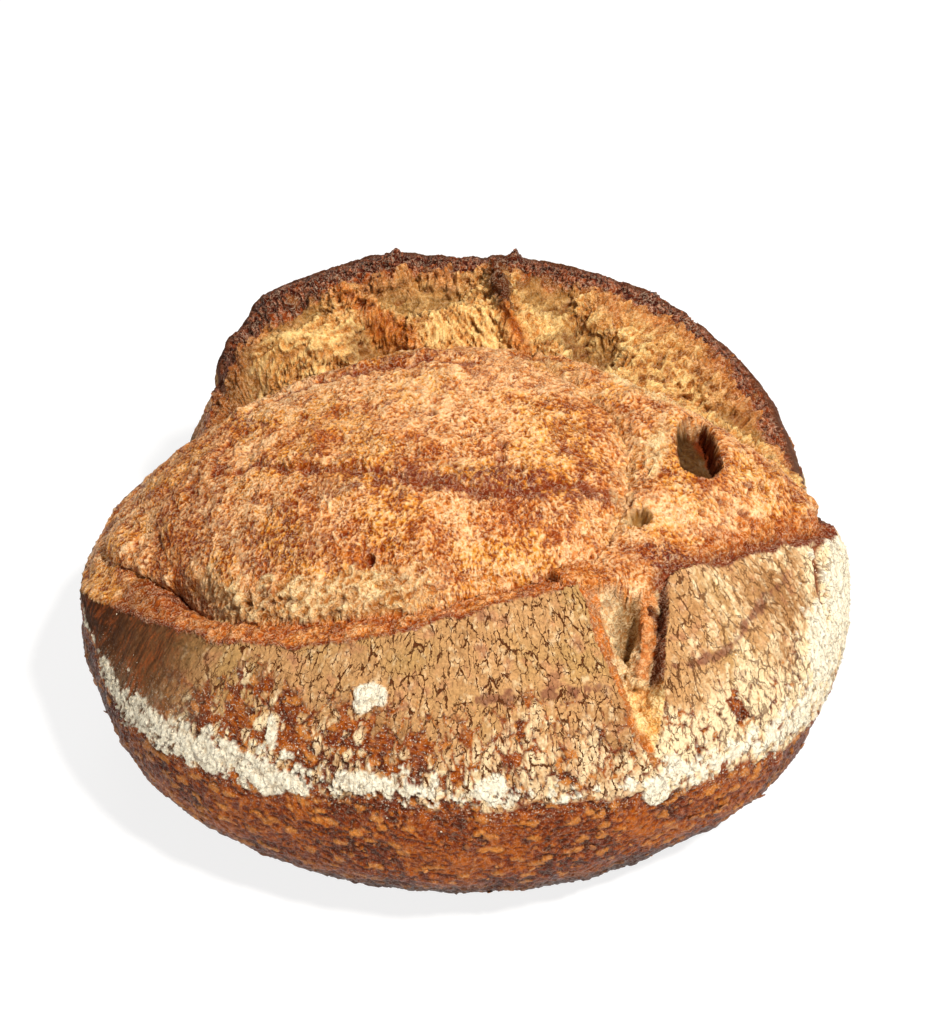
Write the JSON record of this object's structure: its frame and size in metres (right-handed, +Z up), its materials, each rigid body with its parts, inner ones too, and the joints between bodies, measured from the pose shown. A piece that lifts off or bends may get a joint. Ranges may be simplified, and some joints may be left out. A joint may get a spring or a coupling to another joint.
{
  "type": "round sourdough loaf",
  "caption": "Round rustic bread loaf with a raised torn ear, a domed crust, a side cleft and floured plates of crust, resting on a flat base.",
  "frame": {"origin": "middle of the loaf's box, on the plane of its flat base", "axes": "+Z up from the base, +X along the longest side, the torn front and the cleft towards -Y, the ear's back towards +Y"},
  "size_m": [0.2424, 0.2268, 0.1217],
  "materials": {
    "crust": null
  },
  "bodies": {
    "root": {"loaf": "crust"}
  },
  "joints": []
}
